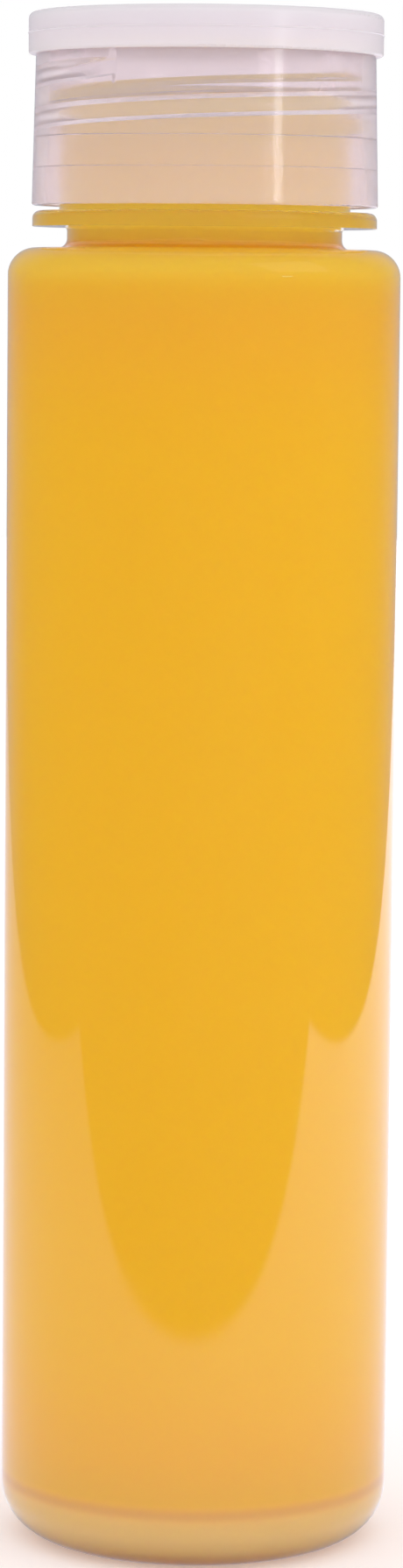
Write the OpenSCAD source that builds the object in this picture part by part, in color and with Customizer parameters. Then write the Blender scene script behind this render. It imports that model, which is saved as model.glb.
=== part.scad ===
// Small clear bottle of cloudy amber liquid, closed by a translucent screw cap.
// Millimetres. The origin is the middle of the base, on the surface the bottle
// stands on, and +Z points up through the neck.

/* [Bottle body] */
// Outside diameter of the body
body_d = 30; // [29:0.5:40]
// Height of the flat shoulder above the base
shoulder_z = 99.7; // [60:0.1:140]
// Thickness of the body wall and the shoulder
body_wall = 0.8; // [0.5:0.05:1.1]
// Outside radius of the heel, where the wall turns under
heel_r = 4.1; // [3:0.1:5]
// Outside radius of the corner between wall and shoulder
shoulder_r = 2.1; // [1.4:0.1:2.6]

/* [Base] */
// Thickness of the floor
floor_t = 1.6; // [1:0.1:2.4]
// Inside radius where the wall meets the floor
floor_r = 2.4; // [1.5:0.1:3]
// Width of the flat ring that the bottle stands on
stand_ring_w = 2.8; // [2:0.1:4]
// Height of the push-up at the middle of the base
push_up_h = 1.3; // [0.6:0.1:2]
// Diameter of the round gate mark left in the push-up
gate_d = 3.2; // [2:0.1:5]
// Depth of the gate mark's step
gate_h = 0.3; // [0.1:0.05:0.5]

/* [Neck] */
// Diameter of the neck between shoulder and neck ring
neck_d = 21; // [20.6:0.1:22]
// Height of the neck between shoulder and neck ring
neck_h = 1.6; // [1:0.1:3]
// Radius of the blend between shoulder and neck
neck_blend_r = 0.7; // [0.2:0.1:0.8]
// How far the neck ring stands out from the finish
ring_out = 2.05; // [1.5:0.05:2.4]
// Thickness of the neck ring
ring_t = 1.2; // [0.8:0.1:2]
// Radius of the neck ring's upper edge
ring_edge_r = 0.6; // [0.3:0.05:0.75]
// Radius of the blend between neck and neck ring
ring_blend_r = 0.3; // [0.1:0.05:0.4]

/* [Threaded finish] */
// Outside diameter of the finish, at the root of its thread
finish_d = 22.2; // [21.8:0.1:22.6]
// Height of the finish from the neck ring to the mouth
finish_h = 12.7; // [11:0.1:15]
// Diameter of the mouth
mouth_d = 18.8; // [17.5:0.1:19]
// Radius of the lip's two edges
lip_r = 0.4; // [0.2:0.05:0.6]
// Rise of the thread in one turn, eight turns to the inch
pitch = 3.175; // [2.9:0.005:3.4]
// Height of the thread ridge above its root
ridge_h = 0.85; // [0.6:0.05:0.95]
// Width of the thread ridge at its root
ridge_root_w = 1.7; // [1.5:0.05:1.8]
// Width of the thread ridge at its crest
ridge_crest_w = 0.9; // [0.6:0.05:1]
// Turns of thread on the bottle
finish_turns = 1.33; // [1.1:0.01:1.6]
// Distance from the mouth down to the thread's upper end
finish_lead = 2.8; // [2.4:0.1:3.4]
// Direction in which the bottle's thread begins at its lower end
finish_start_a = -100; // [-180:5:180]

/* [Screw cap] */
// Gap between the neck ring and the cap's lower edge
cap_gap = 0.4; // [0.2:0.05:0.8]
// Thickness of the skirt's threaded wall where it meets the rim band
skirt_wall = 0.83; // [0.7:0.01:1.4]
// Draft of the skirt: how much wider its radius is at the lower edge
skirt_draft = 0.27; // [0.1:0.01:0.6]
// Radius of the skirt's outer lower edge
skirt_edge_r = 0.2; // [0.1:0.05:0.3]
// How far the rim band stands out from the skirt
rim_out = 0.57; // [0.4:0.01:1]
// Height of the rim band
rim_h = 3.15; // [2:0.05:4.5]
// Radius of the rim band's upper edge
rim_edge_r = 0.5; // [0.2:0.05:0.8]
// Radius of the rim band's lower edge
rim_low_r = 0.2; // [0.1:0.05:0.25]
// Height of the fine mould line round the rim band
mould_line_h = 0.06; // [0.03:0.01:0.1]
// Thickness of the cap's top
top_t = 1.25; // [0.9:0.05:1.6]
// Diameter of the gate mark in the middle of the cap's top
cap_gate_d = 2.4; // [1.5:0.1:4]
// Depth of the cap's gate mark
cap_gate_h = 0.15; // [0.05:0.05:0.4]
// Radius of the inside corner under the cap's top
ceiling_r = 0.5; // [0.2:0.05:0.6]
// Height of the wide entry inside the skirt's lower edge
entry_h = 2.8; // [2:0.1:3.4]
// Height from the lower edge to the threaded wall
relief_h = 5.1; // [4.4:0.1:5.8]
// Depth of the step at each of the two levels inside the skirt
relief_step = 0.16; // [0.08:0.02:0.2]
// Turns of thread in the cap
cap_turns = 1.3; // [1.1:0.01:1.5]

/* [Liner] */
// Thickness of the soft sealing disc
liner_t = 1; // [0.6:0.05:1.4]
// Gap between the disc's edge and the cap's wall
liner_gap = 0.15; // [0.05:0.05:0.4]

/* [Liquid] */
// Distance from the mouth down to the liquid
headspace = 4.4; // [3:0.1:12]
// Clearance between the liquid and the bottle's wall
film_gap = 0.02; // [0.01:0.01:0.1]

/* [Clearances] */
// Radial clearance between a thread crest and the facing root
crest_gap = 0.15; // [0.1:0.01:0.2]
// Clearance between the thread flanks that bear on each other
flank_gap = 0.12; // [0.08:0.01:0.2]

/* [Hidden] */
$fn = 96;

body_r = body_d / 2;
neck_r = neck_d / 2;
finish_r = finish_d / 2;
ring_r = finish_r + ring_out;
mouth_r = mouth_d / 2;
inner_shoulder_z = shoulder_z - body_wall;
ring_z = shoulder_z + neck_h;
ring_top_z = ring_z + ring_t;
mouth_z = ring_top_z + finish_h;
fill_z = mouth_z - headspace;

// Push-up: a shallow dome that starts at the inner edge of the stand ring
dome_edge_r = body_r - heel_r - stand_ring_w;
dome_r = (pow(dome_edge_r, 2) + pow(push_up_h, 2)) / (2 * push_up_h);
dome_z = push_up_h - dome_r;

// Threads: both ridges share one flank slope, so their flanks stay parallel
flank_slope = (ridge_root_w - ridge_crest_w) / 2 / ridge_h;
thread_top_z = mouth_z - finish_lead;
thread_low_z = thread_top_z - finish_turns * pitch;
cap_bore_r = finish_r + ridge_h + crest_gap;
ridge_bury = 0.25;
ridge_fade_a = 35;
step_a = 6;
flank_pair_w = (ridge_root_w + ridge_crest_w) / 2 - flank_slope * crest_gap;
cap_drop = flank_pair_w + flank_gap;

cap_low_z = ring_top_z + cap_gap;
ceiling_z = mouth_z + liner_t;
cap_top_z = ceiling_z + top_t;
rim_z = cap_top_z - rim_h;
relief_r = cap_bore_r + relief_step;
entry_r = relief_r + relief_step;
skirt_top_r = cap_bore_r + skirt_wall;
skirt_low_r = skirt_top_r + skirt_draft;
rim_r = skirt_top_r + rim_out;
liner_r = cap_bore_r - ceiling_r - liner_gap;

// The cap's ridge lies on the bottle's helix, moved down by cap_drop
cap_thread_low_z = cap_low_z + relief_h + ridge_root_w / 2;
cap_start_a = finish_start_a + 360 * (cap_thread_low_z + cap_drop - thread_low_z) / pitch;

// Overlap that makes joined shapes one solid
bite = 0.05;
// Radius of an edge that looks sharp
edge_r = 0.05;

// The waste between a square corner at the origin and its inscribed arc
module corner_waste(r) {
    difference() {
        square(r);
        translate([r, r]) circle(r);
    }
}

// Half of a round-cornered section, from the axis out to r
module half_section(r, low_z, high_z, low_r, high_r) {
    difference() {
        translate([0, low_z]) square([r, high_z - low_z]);
        translate([r, low_z]) mirror([1, 0]) corner_waste(low_r);
        translate([r, high_z]) rotate(180) corner_waste(high_r);
    }
}

// Points of a ridge's section: how far it stands from the root, and its height
function ridge_section(root_w, crest_w, h) = [
    [-ridge_bury, -root_w / 2 - flank_slope * ridge_bury],
    [h * 0.8, -crest_w / 2 - flank_slope * h * 0.2],
    [h, -crest_w / 4],
    [h, crest_w / 4],
    [h * 0.8, crest_w / 2 + flank_slope * h * 0.2],
    [-ridge_bury, root_w / 2 + flank_slope * ridge_bury]
];

// How much of its full height a ridge has at angle a of its length
function ridge_fade(a, length) =
    max(0.04, sin(90 * min(1, a / ridge_fade_a, (length - a) / ridge_fade_a)));

// A right-handed helical ridge. way is 1 outward and -1 inward.
module helix_ridge(root_r, way, start_a, start_z, turns) {
    section = ridge_section(ridge_root_w, ridge_crest_w, ridge_h);
    m = len(section);
    n = round(turns * 360 / step_a);
    length = n * step_a;
    points = [
        for (i = [0:n], p = section)
            let (
                a = i * step_a,
                stand = p[0] > 0 ? p[0] * ridge_fade(a, length) : p[0],
                r = root_r + way * stand
            )
            [
                r * cos(start_a + a),
                r * sin(start_a + a),
                start_z + pitch * a / 360 + p[1]
            ]
    ];
    sides = [
        for (i = [0:n - 1], k = [0:m - 1])
            let (
                a = i * m + k,
                b = i * m + (k + 1) % m
            )
            each [[a, b, b + m], [a, b + m, a + m]]
    ];
    ends = [
        [for (k = [m - 1:-1:0]) k],
        [for (k = [0:m - 1]) n * m + k]
    ];
    faces = concat(sides, ends);
    turned = [for (f = faces) [for (k = [len(f) - 1:-1:0]) f[k]]];
    polyhedron(points, way > 0 ? faces : turned, convexity = 6);
}

// Everything inside the bottle, up to the height top_z
module cavity_section(top_z) {
    half_section(body_r - body_wall, floor_t, inner_shoulder_z, floor_r, shoulder_r - body_wall);
    translate([0, floor_t]) square([mouth_r, top_z - floor_t]);
    translate([mouth_r, inner_shoulder_z]) corner_waste(body_wall);
}

// The dome of the push-up, thickened by t
module dome_section(t) {
    intersection() {
        translate([0, dome_z]) circle(dome_r + t);
        translate([0, -floor_t]) square([body_r, push_up_h + 2 * floor_t]);
    }
}

module bottle_section() {
    difference() {
        union() {
            half_section(body_r, 0, shoulder_z, heel_r, shoulder_r);
            translate([0, shoulder_z - bite]) square([neck_r, neck_h + 2 * bite]);
            translate([neck_r, shoulder_z]) corner_waste(neck_blend_r);
            translate([neck_r, ring_z]) mirror([0, 1]) corner_waste(ring_blend_r);
            half_section(ring_r, ring_z, ring_top_z, edge_r, ring_edge_r);
            half_section(finish_r, ring_z, mouth_z, edge_r, lip_r);
        }
        difference() {
            cavity_section(mouth_z + bite);
            dome_section(floor_t);
        }
        dome_section(0);
        translate([mouth_r, mouth_z]) mirror([0, 1]) corner_waste(lip_r);
        translate([0, push_up_h - bite]) square([gate_d / 2, gate_h + bite]);
    }
}

module bottle() {
    color([0.93, 0.94, 0.93, 0.35]) {
        union() {
            rotate_extrude() bottle_section();
            helix_ridge(finish_r, 1, finish_start_a, thread_low_z, finish_turns);
        }
    }
}

module liquid() {
    color([0.93, 0.66, 0.16]) {
        rotate_extrude() {
            difference() {
                half_section(
                    body_r - body_wall - film_gap,
                    floor_t + film_gap,
                    inner_shoulder_z - film_gap,
                    floor_r - film_gap,
                    shoulder_r - body_wall - film_gap
                );
                dome_section(floor_t + film_gap);
            }
            translate([0, inner_shoulder_z / 2])
                square([mouth_r - film_gap, fill_z - inner_shoulder_z / 2]);
        }
    }
}

module cap_section() {
    difference() {
        union() {
            polygon([
                [0, cap_low_z],
                [skirt_low_r, cap_low_z],
                [skirt_top_r, rim_z + bite],
                [0, rim_z + bite]
            ]);
            half_section(rim_r, rim_z, cap_top_z, rim_low_r, rim_edge_r);
            polygon([
                [rim_r - bite, rim_z + rim_h / 2 - mould_line_h - bite],
                [rim_r + mould_line_h, rim_z + rim_h / 2],
                [rim_r - bite, rim_z + rim_h / 2 + mould_line_h + bite]
            ]);
        }
        translate([skirt_low_r, cap_low_z]) mirror([1, 0]) corner_waste(skirt_edge_r);
        half_section(cap_bore_r, cap_low_z - bite, ceiling_z, edge_r, ceiling_r);
        translate([0, cap_low_z - bite]) square([relief_r, relief_h + bite]);
        translate([0, cap_low_z - bite]) square([entry_r, entry_h + bite]);
        translate([0, cap_top_z - cap_gate_h]) square([cap_gate_d / 2, cap_gate_h + bite]);
    }
}

module cap() {
    color([0.88, 0.84, 0.88, 0.75]) {
        union() {
            rotate_extrude() cap_section();
            helix_ridge(cap_bore_r, -1, cap_start_a, cap_thread_low_z, cap_turns);
        }
    }
}

module cap_liner() {
    color([0.95, 0.95, 0.94])
        translate([0, 0, mouth_z]) cylinder(r = liner_r, h = liner_t);
}

bottle();
liquid();
cap();
cap_liner();
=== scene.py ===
# %% [markdown]
# # A small clear bottle of cloudy amber liquid
#
# The object is a straight PET cylinder with a flat shoulder and a short neck,
# closed by a milky screw cap. Its solids come from CAD and are already in the
# right place, so this lesson is about light and material: clear plastic over a
# cloudy liquid, and plastic that lets only half of the light through.

# %% Load the fixed frame
import math

import bmesh
import bpy
from mathutils import Matrix, Vector


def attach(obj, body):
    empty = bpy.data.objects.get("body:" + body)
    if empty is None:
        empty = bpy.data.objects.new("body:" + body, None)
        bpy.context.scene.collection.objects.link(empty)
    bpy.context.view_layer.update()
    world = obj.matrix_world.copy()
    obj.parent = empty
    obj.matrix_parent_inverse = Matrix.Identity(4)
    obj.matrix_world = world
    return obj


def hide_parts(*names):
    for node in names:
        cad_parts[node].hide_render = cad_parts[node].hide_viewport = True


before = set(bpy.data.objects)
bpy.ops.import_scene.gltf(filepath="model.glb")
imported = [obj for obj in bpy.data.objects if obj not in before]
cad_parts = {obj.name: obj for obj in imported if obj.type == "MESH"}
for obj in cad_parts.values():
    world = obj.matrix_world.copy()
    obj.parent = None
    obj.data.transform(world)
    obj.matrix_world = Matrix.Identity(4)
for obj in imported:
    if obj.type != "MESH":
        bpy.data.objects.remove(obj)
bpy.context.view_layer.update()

MM = 0.001

# %% [markdown]
# ## The camera
#
# The bottle nearly fills a tall narrow picture and its sides hardly converge,
# so the lens is long. The camera stands level with the neck, which is why we
# look slightly up at the cap and down at the base. It is also rolled by half
# a degree, as a camera held in the hand is.

# %% Place the camera
CAMERA_AT = (0.16 * MM, -366.1 * MM, 96.4 * MM)
PITCH_DOWN = math.radians(5.89)
ROLL = math.radians(0.539)
LENS = 109.39

bpy.ops.object.select_all(action="DESELECT")
bpy.ops.object.camera_add(location=CAMERA_AT)
camera = bpy.context.object
camera.name = "camera"
camera.data.lens = LENS
camera.data.sensor_width = 36
camera.data.clip_start = 0.01
camera.data.clip_end = 20
turn = Matrix.Rotation(math.pi / 2 - PITCH_DOWN, 4, "X") @ Matrix.Rotation(ROLL, 4, "Z")
camera.matrix_world = Matrix.Translation(CAMERA_AT) @ turn
bpy.context.scene.camera = camera
print("camera at", [round(v, 4) for v in camera.matrix_world.translation])

# %% [markdown]
# ## Small helpers for shader trees
#
# Every material below is a handful of nodes, so a few helpers keep the cells
# short. One adds a node with its settings and socket values. The others place
# what comes back most: a sum, a ramp, a blend, the coordinates of the shaded
# point and a Principled shader.

# %% Helpers for nodes
def add_node(tree, kind, sockets=None, **settings):
    """Adds a node; settings are its properties and sockets its input values."""
    made = tree.nodes.new(kind)
    for name, value in settings.items():
        setattr(made, name, value)
    for name, value in (sockets or {}).items():
        made.inputs[name].default_value = value
    return made


def calculate(tree, operation, first, second=None, clamp=False):
    """A Math node on two values or sockets. Gives its output socket."""
    made = add_node(tree, "ShaderNodeMath", operation=operation, use_clamp=clamp)
    for socket, value in zip(made.inputs, (first, second)):
        if isinstance(value, (int, float)):
            socket.default_value = value
        elif value is not None:
            tree.links.new(value, socket)
    return made.outputs[0]


def ramp_between(tree, value, start, end, low=0.0, high=1.0, smooth=True):
    """A Map Range node that goes from low at start to high at end."""
    made = add_node(tree, "ShaderNodeMapRange",
                    {"From Min": start, "From Max": end, "To Min": low, "To Max": high},
                    interpolation_type="SMOOTHSTEP" if smooth else "LINEAR")
    tree.links.new(value, made.inputs["Value"])
    return made.outputs["Result"]


def blend_values(tree, factor, first, second):
    """First where the factor is 0 and second where it is 1."""
    rest = calculate(tree, "SUBTRACT", 1.0, factor)
    return calculate(tree, "ADD", calculate(tree, "MULTIPLY", rest, first),
                     calculate(tree, "MULTIPLY", factor, second))


def shaded_point(tree, coordinates="Object"):
    """X, Y and Z of the shaded point. In a world, Generated is the ray's direction."""
    parts = add_node(tree, "ShaderNodeSeparateXYZ")
    where = add_node(tree, "ShaderNodeTexCoord").outputs[coordinates]
    tree.links.new(where, parts.inputs[0])
    return tuple(parts.outputs)


def from_axis(tree, x, y):
    """Distance from the bottle's upright axis."""
    return calculate(tree, "SQRT", calculate(
        tree, "ADD", calculate(tree, "POWER", x, 2.0), calculate(tree, "POWER", y, 2.0)))


def mix_colours(tree, factor, first, second):
    """A Mix node on colours. Gives its output socket."""
    made = add_node(tree, "ShaderNodeMix", data_type="RGBA")
    for socket, value in zip((made.inputs[0], made.inputs[6], made.inputs[7]),
                             (factor, first, second)):
        if hasattr(value, "links"):
            tree.links.new(value, socket)
        else:
            socket.default_value = value
    return made.outputs[2]


def new_material(name, **values):
    """A material with one Principled BSDF, whose plain values are given by name."""
    material = bpy.data.materials.new(name)
    material.use_nodes = True
    shader = material.node_tree.nodes["Principled BSDF"]
    for socket, value in values.items():
        shader.inputs[socket.replace("_", " ")].default_value = value
    return material, material.node_tree, shader

# %% [markdown]
# ## The studio: a white sheet in a dim room
#
# The lower body carries a large U-shaped reflection. Followed back through the
# curved wall, its edge is a straight-sided white sheet: the table top ends
# about 10 cm in front of the bottle and 26 cm to each side, and beyond it the
# room is dim. The two outlines of the bottle are pale because they mirror the
# white backdrop behind it.
#
# So the floor is one large white plane, and its shader shows the sheet and the
# dim room only to mirror rays. Where the bottle stands, the mirrored sheet is
# darker, as it would be in the bottle's own shadow. To the camera the floor
# stays white, with the bottle's soft shadow on it.

# %% Values of the studio
SHEET_FRONT = -97 * MM
SHEET_SLANT = -0.036
SHEET_SIDE = 265 * MM
SHEET_BLUR = 5 * MM
ROOM_DIM, BACKDROP_GLOW = 0.16, 0.48
BACKDROP_STARTS, BACKDROP_FULL = 0.45, 1.02
SHEET_LEFT, SHEET_RIGHT = 0.75, 1.6
CONTACT_NEAR, CONTACT_FAR, CONTACT_SHADE = 13 * MM, 17 * MM, 0.4
FLOOR_SIZE, FLOOR_LIFT = 3.0, 0.2
PAPER = (0.9, 0.88, 0.9, 1)
STUDIO_WHITE = (1.0, 0.93, 0.98, 1)
MIRROR_TINT = (0.88, 0.87, 1.0, 1)


def mirrored_room(tree, direction_x, direction_y):
    """Brightness of the room in a level direction: dim in front, white behind."""
    level = calculate(tree, "MAXIMUM", from_axis(tree, direction_x, direction_y), 0.0001)
    behind = calculate(tree, "DIVIDE", direction_y, level)
    return ramp_between(
        tree, behind, BACKDROP_STARTS, BACKDROP_FULL, ROOM_DIM, BACKDROP_GLOW)


def mirror_rays(tree):
    """One for a ray that a glossy surface mirrored, and nothing for any other."""
    path = add_node(tree, "ShaderNodeLightPath")
    passed = calculate(tree, "SUBTRACT", 1.0, path.outputs["Is Transmission Ray"])
    return calculate(tree, "MULTIPLY", path.outputs["Is Glossy Ray"], passed), path

# %% Add the floor
bpy.ops.object.select_all(action="DESELECT")
bpy.ops.mesh.primitive_plane_add(size=FLOOR_SIZE, location=(0, 0, 0))
floor = bpy.context.object
floor.name = "floor"

floor_paint = bpy.data.materials.new("white_floor")
floor_paint.use_nodes = True
tree = floor_paint.node_tree
tree.nodes.clear()
x, y, z = shaded_point(tree)

edge = calculate(tree, "ADD", calculate(tree, "MULTIPLY", x, SHEET_SLANT), SHEET_FRONT)
past_edge = calculate(tree, "SUBTRACT", y, edge)
inside_front = ramp_between(tree, past_edge, -SHEET_BLUR, SHEET_BLUR)
inside_side = ramp_between(tree, calculate(tree, "ABSOLUTE", x),
                           SHEET_SIDE + SHEET_BLUR, SHEET_SIDE - SHEET_BLUR)
sheet = calculate(tree, "MULTIPLY", inside_front, inside_side)
sheet_light = ramp_between(
    tree, x, -SHEET_SIDE, SHEET_SIDE, SHEET_LEFT, SHEET_RIGHT, smooth=False)
contact = ramp_between(
    tree, from_axis(tree, x, y), CONTACT_NEAR, CONTACT_FAR, CONTACT_SHADE, 1.0)
sheet_light = calculate(tree, "MULTIPLY", sheet_light, contact)
shown = blend_values(tree, sheet, mirrored_room(tree, x, y), sheet_light)

is_mirror, path = mirror_rays(tree)
paper = add_node(tree, "ShaderNodeBsdfDiffuse", {"Color": PAPER})
glow = add_node(tree, "ShaderNodeEmission", {"Color": STUDIO_WHITE})
lift = calculate(tree, "MULTIPLY", path.outputs["Is Camera Ray"], FLOOR_LIFT)
tree.links.new(lift, glow.inputs["Strength"])
lifted = add_node(tree, "ShaderNodeAddShader")
tree.links.new(paper.outputs[0], lifted.inputs[0])
tree.links.new(glow.outputs[0], lifted.inputs[1])
seen = add_node(tree, "ShaderNodeEmission", {"Color": MIRROR_TINT})
tree.links.new(shown, seen.inputs["Strength"])
choose = add_node(tree, "ShaderNodeMixShader")
tree.links.new(is_mirror, choose.inputs[0])
tree.links.new(lifted.outputs[0], choose.inputs[1])
tree.links.new(seen.outputs[0], choose.inputs[2])
tree.links.new(choose.outputs[0], add_node(tree, "ShaderNodeOutputMaterial").inputs[0])
floor.data.materials.append(floor_paint)
print("floor: sheet ends", round(-SHEET_FRONT / MM), "mm in front of the bottle")

# %% [markdown]
# ## Light from all around
#
# The world lights the bottle softly, and more strongly from near the horizon
# than from above. Some rays see something else in it. The camera sees plain
# white, also through clear plastic. A mirror ray sees the dim room and the
# brighter backdrop behind the bottle, both slightly bluish, as the mirrored
# sheet is.
#
# Light for the liquid also comes through the clear wall, as a transmission
# ray. It has met the matt liquid before, so its diffuse depth isn't nothing,
# and that tells it from a ray that only looks through.

# %% Light the room
world = bpy.data.worlds.new("studio")
bpy.context.scene.world = world
world.use_nodes = True
tree = world.node_tree
tree.nodes.clear()
AMBIENT, HORIZON = 0.93, 0.52
HORIZON_BAND = (0.05, 0.4)
x, y, z = shaded_point(tree, "Generated")
is_mirror, path = mirror_rays(tree)
direct = calculate(tree, "SUBTRACT", 1.0, path.outputs["Diffuse Depth"], clamp=True)
through = calculate(tree, "MAXIMUM", path.outputs["Is Camera Ray"], calculate(
    tree, "MULTIPLY", path.outputs["Is Transmission Ray"], direct))
steepness = calculate(tree, "ABSOLUTE", z)
lit = ramp_between(tree, steepness, *HORIZON_BAND, AMBIENT + HORIZON, AMBIENT)
other = blend_values(tree, through, lit, 1.0)
strength = blend_values(tree, is_mirror, other, mirrored_room(tree, x, y))
sky = add_node(tree, "ShaderNodeBackground")
tint = mix_colours(tree, is_mirror, (1, 1, 1, 1), MIRROR_TINT)
tree.links.new(tint, sky.inputs["Color"])
tree.links.new(strength, sky.inputs["Strength"])
tree.links.new(sky.outputs[0], add_node(tree, "ShaderNodeOutputWorld").inputs[0])
print("world: ambient", AMBIENT, "and", HORIZON, "more at the horizon")

# %% [markdown]
# ## Two soft lamps
#
# The cap carries a narrow upright gleam to the right of the middle, but the
# body below it has none. The two differ in that the cap is above the camera
# and the body is below it, so a wall of the cap mirrors what is a little above
# the camera's level and the body mirrors what is below it. A small panel just
# above that level, to the front right, explains both. A wide weak panel from
# the upper right gives the rim and the ring their soft shine.

# %% Add the lamps
AIM = (0, 0, 80 * MM)


def add_panel(name, azimuth, height, distance, width, tall, power):
    """A rectangular lamp that faces the bottle. Azimuth 0 is in front, 90 at the right."""
    a = math.radians(azimuth)
    at = (distance * math.sin(a), -distance * math.cos(a), height)
    bpy.ops.object.select_all(action="DESELECT")
    bpy.ops.object.light_add(type="AREA", location=at)
    lamp = bpy.context.object
    lamp.name = name
    lamp.data.shape = "RECTANGLE"
    lamp.data.size, lamp.data.size_y = width, tall
    lamp.data.energy = power
    facing = (Vector(AIM) - Vector(at)).to_track_quat("-Z", "Y")
    lamp.matrix_world = Matrix.Translation(at) @ facing.to_matrix().to_4x4()
    print(name, "at", [round(v, 2) for v in at])
    return lamp


add_panel("low_panel", azimuth=49, height=0.185, distance=1.0,
          width=0.11, tall=0.12, power=0.35)
add_panel("side_panel", azimuth=60, height=0.9, distance=1.1,
          width=0.9, tall=0.9, power=0.9)

# %% [markdown]
# ## Light through clear walls
#
# Light reaches the liquid only through the clear wall, and leaves it the same
# way, often after several turns inside the plastic. Cycles by itself blurs a
# mirror-smooth surface that is met after a matt one, which saves noise but
# would make this wall swallow a quarter of the light. The studio has no small
# hard lamp, so the blur can be switched off, and the paths may be longer.

# %% Let light turn often enough
LIGHT_PATHS = {"blur_glossy": 0.0, "max_bounces": 20, "diffuse_bounces": 6,
               "glossy_bounces": 12, "transmission_bounces": 20}
for name, value in LIGHT_PATHS.items():
    setattr(bpy.context.scene.cycles, name, value)
print("light paths:", LIGHT_PATHS)

# %% [markdown]
# ## Marks that handling leaves on plastic
#
# Neither the bottle nor the cap is perfectly smooth. Blown and moulded plastic
# has a faint long wave in it, and fingers leave dull patches. Both plastics
# need this, so it is one node group: it gives a roughness that varies and a
# height for a Bump node.

# %% Build the group "Handled plastic"
def handled_plastic():
    """The node group for moulded plastic that has been handled."""
    group = bpy.data.node_groups.new("Handled plastic", "ShaderNodeTree")
    sockets = (("Roughness", 0.1), ("Smudge size", 150.0), ("Smudge", 0.1),
               ("Wave size", 60.0), ("Wave", 0.5), ("Grain size", 2500.0), ("Grain", 0.1))
    for name, value in sockets:
        made = group.interface.new_socket(
            name=name, in_out="INPUT", socket_type="NodeSocketFloat")
        made.default_value = value
    for name in ("Roughness", "Height"):
        group.interface.new_socket(
            name=name, in_out="OUTPUT", socket_type="NodeSocketFloat")
    given = add_node(group, "NodeGroupInput").outputs
    result = add_node(group, "NodeGroupOutput").inputs
    where = add_node(group, "ShaderNodeTexCoord").outputs["Object"]

    def noise(size, detail):
        made = add_node(group, "ShaderNodeTexNoise", {"Detail": detail})
        group.links.new(where, made.inputs["Vector"])
        group.links.new(size, made.inputs["Scale"])
        return made.outputs[0]

    smudge = ramp_between(group, noise(given["Smudge size"], 4.0), 0.5, 0.72)
    added = calculate(group, "MULTIPLY", smudge, given["Smudge"])
    rough = calculate(group, "ADD", given["Roughness"], added, clamp=True)
    wave = calculate(group, "MULTIPLY", noise(given["Wave size"], 1.0), given["Wave"])
    grain = calculate(group, "MULTIPLY", noise(given["Grain size"], 2.0), given["Grain"])
    group.links.new(rough, result["Roughness"])
    group.links.new(calculate(group, "ADD", wave, grain), result["Height"])
    return group


HANDLED = handled_plastic()
print(HANDLED.name, "has", len(HANDLED.nodes), "nodes")


def use_handled(tree, shader, strength, distance, **values):
    """Places the group in a material and joins it to the shader."""
    marks = add_node(tree, "ShaderNodeGroup", node_tree=HANDLED)
    for name, value in values.items():
        marks.inputs[name.replace("_", " ")].default_value = value
    bump = add_node(tree, "ShaderNodeBump", {"Strength": strength, "Distance": distance})
    tree.links.new(marks.outputs["Roughness"], shader.inputs["Roughness"])
    tree.links.new(marks.outputs["Height"], bump.inputs["Height"])
    tree.links.new(bump.outputs["Normal"], shader.inputs["Normal"])
    return marks

# %% [markdown]
# ## The clear bottle
#
# The CAD node has the right wall, neck ring and thread, so it stays and gets a
# clear plastic. PET bends light more than glass-like acrylic, with an index of
# 1.57. That high index is what lets the liquid fill the bottle to its outline:
# the wall works as a lens, and no bare rim of plastic shows at the sides.

# %% Paint the bottle
clear_pet, tree, shader = new_material(
    "clear_pet", Base_Color=(0.985, 0.985, 0.98, 1), Transmission_Weight=1.0, IOR=1.57)
use_handled(tree, shader, 0.25, 0.05 * MM, Roughness=0.025, Smudge=0.05, Smudge_size=90.0,
            Wave=0.6, Wave_size=70.0, Grain=0.02, Grain_size=1500.0)
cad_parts["bottle"].material_slots[0].material = clear_pet
print("bottle:", clear_pet.name)

# %% [markdown]
# ## The liquid
#
# A liquid wets the wall that holds it. If a gap of air were left between them,
# however fine, the wall would mirror the room there and a bare clear band
# would show at both sides. So the liquid's surface is laid a hair inside the
# plastic, and it climbs the neck's wall in a small meniscus.
#
# It is made from one cylinder: its foot is inset and lifted over the push-up
# in the base, its top is inset and drawn up into the neck, and its edges are
# bevelled to the radii of the bottle's inside.

# %% Sizes of the liquid
WETTING = 0.03 * MM
FOOT_Z, SHOULDER_Z, FILL_Z = 1.6 * MM - WETTING, 98.9 * MM + WETTING, 110.8 * MM
INSIDE_R, NECK_R = 14.2 * MM, 9.4 * MM
FOOT_ROUND, SHOULDER_ROUND, NECK_ROUND = 2.4 * MM, 1.3 * MM, 0.8 * MM
DOME_R, DOME_Z = 27.48 * MM, -24.58 * MM - WETTING
DOME_STEPS = 8
MENISCUS = 0.8 * MM
MENISCUS_RINGS = ((0.25 * MM, 0.45 * MM), (0.4 * MM, 0.25 * MM), (0.8 * MM, 0.1 * MM))
AROUND = 160


def select_only(piece, kind, test):
    """Selects, in edit mode, the FACEs or EDGEs that pass the test, and no others."""
    bpy.context.view_layer.objects.active = piece
    if bpy.context.mode != "EDIT_MESH":
        bpy.ops.object.mode_set(mode="EDIT")
    bpy.ops.mesh.select_mode(type=kind)
    bpy.ops.mesh.select_all(action="DESELECT")
    mesh = bmesh.from_edit_mesh(piece.data)
    parts = mesh.faces if kind == "FACE" else mesh.edges
    for part in parts:
        part.select_set(test(part))
    mesh.select_flush_mode()
    bmesh.update_edit_mesh(piece.data)
    return sum(part.select for part in parts)


def level_at(height, up):
    """A test for the flat faces at one height that look up (1) or down (-1)."""
    return lambda face: (abs(face.calc_center_median().z - height) < 0.02 * MM
                         and face.normal.z * up > 0.9)

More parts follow.
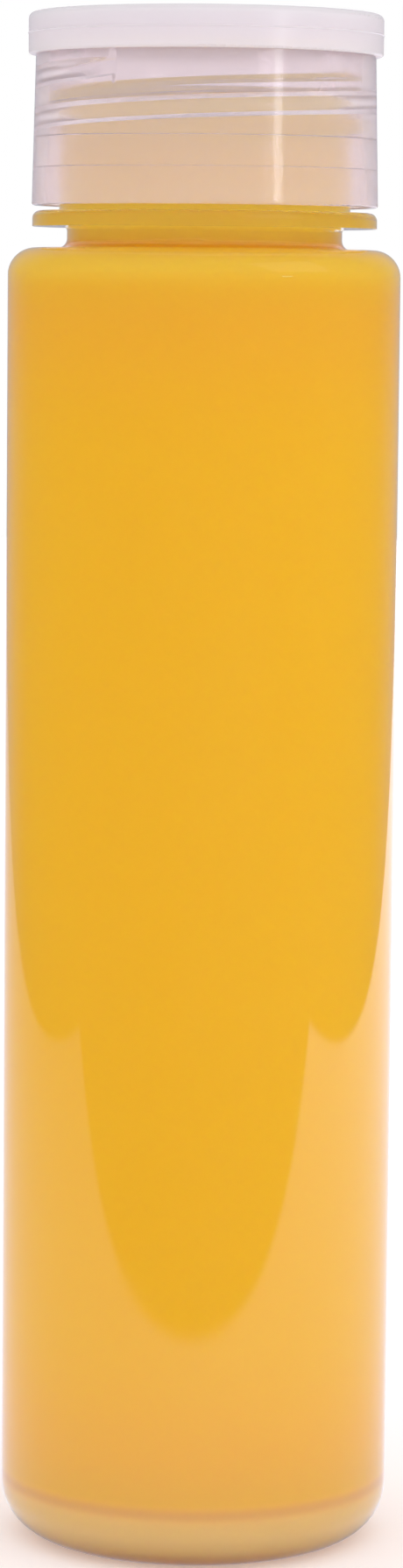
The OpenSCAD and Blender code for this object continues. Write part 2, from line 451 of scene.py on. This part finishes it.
# %% Model the liquid
bpy.ops.object.select_all(action="DESELECT")
body_r = INSIDE_R + WETTING
bpy.ops.mesh.primitive_cylinder_add(
    vertices=AROUND, radius=body_r, depth=SHOULDER_Z - FOOT_Z,
    location=(0, 0, (SHOULDER_Z + FOOT_Z) / 2))
liquid = bpy.context.object
liquid.name = "cloudy_liquid"
bpy.ops.object.transform_apply(location=True, rotation=True, scale=True)

neck_r = NECK_R + WETTING
select_only(liquid, "FACE", level_at(SHOULDER_Z, 1))
bpy.ops.mesh.inset(thickness=body_r - neck_r)
bpy.ops.mesh.extrude_region_move(
    TRANSFORM_OT_translate={"value": (0, 0, FILL_Z + MENISCUS - SHOULDER_Z)})
for ring, drop in MENISCUS_RINGS:
    bpy.ops.mesh.inset(thickness=ring)
    bpy.ops.transform.translate(value=(0, 0, -drop))
print("liquid fills to", round(FILL_Z / MM, 1), "mm and climbs the wall by", MENISCUS / MM)

# %% Lift its foot over the push-up
select_only(liquid, "FACE", level_at(FOOT_Z, -1))
dome_edge = math.sqrt(DOME_R ** 2 - (FOOT_Z - DOME_Z) ** 2)
bpy.ops.mesh.inset(thickness=body_r - dome_edge)
radius, height = dome_edge, FOOT_Z
for step in range(1, DOME_STEPS):
    smaller = dome_edge * (1 - step / DOME_STEPS)
    higher = DOME_Z + math.sqrt(DOME_R ** 2 - smaller ** 2)
    bpy.ops.mesh.inset(thickness=radius - smaller)
    bpy.ops.transform.translate(value=(0, 0, higher - height))
    radius, height = smaller, higher
print("foot rises to", round(height / MM, 2), "mm at the middle")

# %% Round its edges
def ring_at(height, reach):
    """A test for the edges of a level ring of one radius."""
    return lambda edge: all(
        abs(v.co.z - height) < 0.02 * MM
        and abs(math.hypot(v.co.x, v.co.y) - reach) < 0.05 * MM for v in edge.verts)


for height, reach, rounding, segments in (
        (FOOT_Z, body_r, FOOT_ROUND, 8), (SHOULDER_Z, body_r, SHOULDER_ROUND, 6),
        (SHOULDER_Z, neck_r, NECK_ROUND, 5)):
    count = select_only(liquid, "EDGE", ring_at(height, reach))
    bpy.ops.mesh.bevel(offset=rounding, segments=segments, affect="EDGES", clamp_overlap=True)
    print("rounded a ring of", count, "edges by", round(rounding / MM, 2), "mm")
bpy.ops.mesh.select_all(action="SELECT")
bpy.ops.mesh.remove_doubles(threshold=0.001 * MM)
bpy.ops.mesh.normals_make_consistent(inside=False)
bpy.ops.object.mode_set(mode="OBJECT")
bpy.ops.object.shade_smooth_by_angle(angle=math.radians(40))

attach(liquid, "bottle")
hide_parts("liquid")
print("liquid:", len(liquid.data.polygons), "faces")

# %% [markdown]
# ## The colour of a cloudy liquid
#
# Light goes a few millimetres into the liquid, scatters off what floats in it
# and comes back amber, because blue is swallowed first. That is subsurface
# scattering, with a longer reach for red and green than for blue. Slow drifts
# in the cloudiness keep it from being flat.
#
# The rest is tint by height. Red light is hardly swallowed and so goes
# farthest, and near the shoulder and the heel it is the first to be lost, which
# turns the amber greenish. A redder tint at both ends makes up for it. In the
# narrow neck the photo's amber is yellower and paler, and the tint is too. That
# paler tint is painted light: it brightens the neck, which the cap, the neck
# ring and the shoulder shade.
#
# In the heel the photo has a soft grey-brown ring and a paler band below it.
# The shape of the clear base alone doesn't give them here, so both are painted:
# the ring is painted shade and the band below it is painted light.

# %% Tints of the liquid
AMBER, AMBER_PALE = (0.985, 0.69, 0.055, 1), (0.98, 0.70, 0.08, 1)
AMBER_END, NECK_PAINTED_LIGHT = (0.998, 0.655, 0.085, 1), (0.998, 0.755, 0.13, 1)
HEEL_PAINTED_LIGHT, HEEL_SHADE = (0.998, 0.69, 0.34, 1), (0.66, 0.42, 0.2, 1)
PALE_SHARE, HEEL_LIGHT_SHARE, HEEL_SHADE_SHARE = 0.45, 0.7, 0.42
TOP_END, FOOT_END = (84 * MM, 98.5 * MM), (18 * MM, 6 * MM)
NECK_LIGHT_TURNS = (98.7 * MM, 100.5 * MM)
HEEL_LIGHT_TURNS = (5.6 * MM, 3.8 * MM)
HEEL_RING, RING_FADES = 4.6 * MM, (0.7 * MM, 0.05 * MM)
print("heel ring at", round(HEEL_RING / MM, 1), "mm")

# %% Paint the liquid
cloudy_amber, tree, shader = new_material(
    "cloudy_amber", Roughness=0.35, IOR=1.34, Subsurface_Weight=1.0,
    Subsurface_Radius=(9.0, 9.0, 3.5), Subsurface_Scale=1.0 * MM, Specular_IOR_Level=0.0)
x, y, z = shaded_point(tree)
where = add_node(tree, "ShaderNodeTexCoord").outputs["Object"]
drift = add_node(tree, "ShaderNodeMapping", {"Scale": (60, 60, 12)})
tree.links.new(where, drift.inputs["Vector"])
cloud = add_node(tree, "ShaderNodeTexNoise", {"Scale": 1.0, "Detail": 3.0, "Roughness": 0.5})
tree.links.new(drift.outputs[0], cloud.inputs["Vector"])
paler = ramp_between(tree, cloud.outputs[0], 0.35, 0.75, 0.0, PALE_SHARE)
tint = mix_colours(tree, paler, AMBER, AMBER_PALE)
ends = calculate(tree, "MAXIMUM", ramp_between(tree, z, *TOP_END),
                 ramp_between(tree, z, *FOOT_END))
tint = mix_colours(tree, ends, tint, AMBER_END)
# Painted light: a paler, yellower tint that brightens the shaded neck.
tint = mix_colours(tree, ramp_between(tree, z, *NECK_LIGHT_TURNS), tint, NECK_PAINTED_LIGHT)
# Painted light: the paler band low in the heel.
below = ramp_between(tree, z, *HEEL_LIGHT_TURNS, 0.0, HEEL_LIGHT_SHARE)
tint = mix_colours(tree, below, tint, HEEL_PAINTED_LIGHT)
# Painted shade: the soft grey-brown ring round the heel.
off_ring = calculate(tree, "ABSOLUTE", calculate(tree, "SUBTRACT", z, HEEL_RING))
ring = ramp_between(tree, off_ring, *RING_FADES, 0.0, HEEL_SHADE_SHARE)
tint = mix_colours(tree, ring, tint, HEEL_SHADE)
tree.links.new(tint, shader.inputs["Base Color"])
liquid.data.materials.append(cloudy_amber)
print("liquid:", cloudy_amber.name)

# %% [markdown]
# ## The milky cap
#
# Uncoloured polypropylene is translucent: some light goes straight through it,
# and the rest scatters inside it and gives the milky, faintly lilac white. The
# skirt is under a millimetre thick and shows the threads and the amber behind
# it. The rim and the top are thicker and show nearly nothing.
#
# One Principled shader has one transmission for the whole surface, so the cap
# needs two materials. The CAD node holds one, so a copy of its mesh stands in
# for it. The CAD mesh is loose triangles with their own normals. The copy is
# merged first, and a Weighted Normal modifier lets the large faces decide how
# the surface is shaded, which keeps the thin edge roundings from bending it.

# %% Copy the cap
def merged_copy(node, name, angle):
    """A copy of a CAD node's mesh, joined to one skin and shaded smoothly."""
    made = bpy.data.objects.new(name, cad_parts[node].data.copy())
    bpy.context.scene.collection.objects.link(made)
    bpy.ops.object.select_all(action="DESELECT")
    made.select_set(True)
    bpy.context.view_layer.objects.active = made
    bpy.ops.mesh.customdata_custom_splitnormals_clear()
    bpy.ops.object.mode_set(mode="EDIT")
    bpy.ops.mesh.select_all(action="SELECT")
    bpy.ops.mesh.remove_doubles(threshold=0.001 * MM)
    bpy.ops.object.mode_set(mode="OBJECT")
    bpy.ops.object.shade_smooth_by_angle(angle=angle)
    return made


def weigh_normals(piece):
    """Applies a Weighted Normal modifier."""
    bpy.context.view_layer.objects.active = piece
    bpy.ops.object.modifier_add(type="WEIGHTED_NORMAL")
    weighted = piece.modifiers[-1]
    weighted.weight, weighted.keep_sharp = 100, True
    bpy.ops.object.modifier_apply(modifier=weighted.name)


cap_shell = merged_copy("cap", "milky_cap_shell", math.radians(35))
print("cap:", len(cap_shell.data.vertices), "points in one skin")

# %% [markdown]
# Two fine bright lines run level round the skirt. They are steps in its bore,
# whose edges aren't quite sharp: each edge bends the light like a tiny prism.
# A bevel of a tenth of a millimetre on the two rings of edges draws them.

# %% Break the edges of the two steps in the bore
BORE_STEPS = ((108.0 * MM, 12.1 * MM, 0.11 * MM), (105.7 * MM, 12.26 * MM, 0.07 * MM))
for height, reach, size in BORE_STEPS:
    count = select_only(cap_shell, "EDGE", ring_at(height, reach))
    bpy.ops.mesh.bevel(offset=size, segments=2, affect="EDGES", clamp_overlap=True)
    print("broke a ring of", count, "edges at", round(height / MM, 1), "mm")
bpy.ops.object.mode_set(mode="OBJECT")
weigh_normals(cap_shell)
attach(cap_shell, "cap")
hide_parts("cap")

# %% Paint the cap
def milky_plastic(name, colour, transmission, ior):
    """Translucent polypropylene. Gives its material, tree, shader and marks."""
    material, tree, shader = new_material(
        name, Base_Color=colour, IOR=ior, Transmission_Weight=transmission)
    marks = use_handled(tree, shader, 0.3, 0.05 * MM, Smudge=0.0, Wave=0.5,
                        Wave_size=120.0, Grain=0.15, Grain_size=3000.0)
    return material, tree, shader, marks


OUTER_ROUGH, INNER_ROUGH, RIM_ROUGH = 0.09, 0.24, 0.25
WALL_OUTSIDE, WALL_INSIDE = 12.75 * MM, 12.5 * MM
skirt_pp, tree, shader, marks = milky_plastic(
    "thin_polypropylene", (0.99, 0.91, 0.96, 1), transmission=0.8, ior=1.34)
x, y, z = shaded_point(tree)
rough = ramp_between(tree, from_axis(tree, x, y), WALL_OUTSIDE, WALL_INSIDE,
                     OUTER_ROUGH, INNER_ROUGH)
tree.links.new(rough, marks.inputs["Roughness"])

rim_pp, tree, shader, marks = milky_plastic(
    "thick_polypropylene", (0.9, 0.83, 0.88, 1), transmission=0.2, ior=1.45)
marks.inputs["Roughness"].default_value = RIM_ROUGH
shader.inputs["Subsurface Weight"].default_value = 1.0
shader.inputs["Subsurface Radius"].default_value = (1, 1, 1)
shader.inputs["Subsurface Scale"].default_value = 1.5 * MM
print("cap:", skirt_pp.name, "and", rim_pp.name)

# %% Give the thick parts their own plastic
RIM_Z, CEILING_Z, BORE_R = 114.25 * MM, 116.1 * MM, 12.2 * MM


def is_thick(face):
    """True for the faces of the rim band and of the top."""
    out = math.hypot(face.center.x, face.center.y)
    return face.center.z > CEILING_Z or (face.center.z > RIM_Z and out > BORE_R)


cap_shell.data.materials.clear()
cap_shell.data.materials.append(skirt_pp)
cap_shell.data.materials.append(rim_pp)
for face in cap_shell.data.polygons:
    face.material_index = 1 if is_thick(face) else 0
print("thick faces:", sum(face.material_index for face in cap_shell.data.polygons))

# %% [markdown]
# ## The sealing disc
#
# Under the cap's top lies a thin disc of foamed plastic. It shows only when
# the cap is lifted off: matt white, with the fine cells of the foam.

# %% Paint the sealing disc
foam, tree, shader = new_material(
    "foamed_disc", Base_Color=(0.86, 0.85, 0.84, 1), Roughness=0.75)
where = add_node(tree, "ShaderNodeTexCoord").outputs["Object"]
cells = add_node(tree, "ShaderNodeTexVoronoi", {"Scale": 2200.0})
tree.links.new(where, cells.inputs["Vector"])
dents = add_node(tree, "ShaderNodeBump", {"Strength": 0.4, "Distance": 0.06 * MM})
tree.links.new(cells.outputs["Distance"], dents.inputs["Height"])
tree.links.new(dents.outputs["Normal"], shader.inputs["Normal"])
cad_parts["cap_liner"].material_slots[0].material = foam
print("liner:", foam.name)

# %% [markdown]
# ## Colours as chosen
#
# The standard view transform keeps colours as they were chosen.

# %% Keep the colours as chosen
bpy.context.scene.view_settings.view_transform = "Standard"
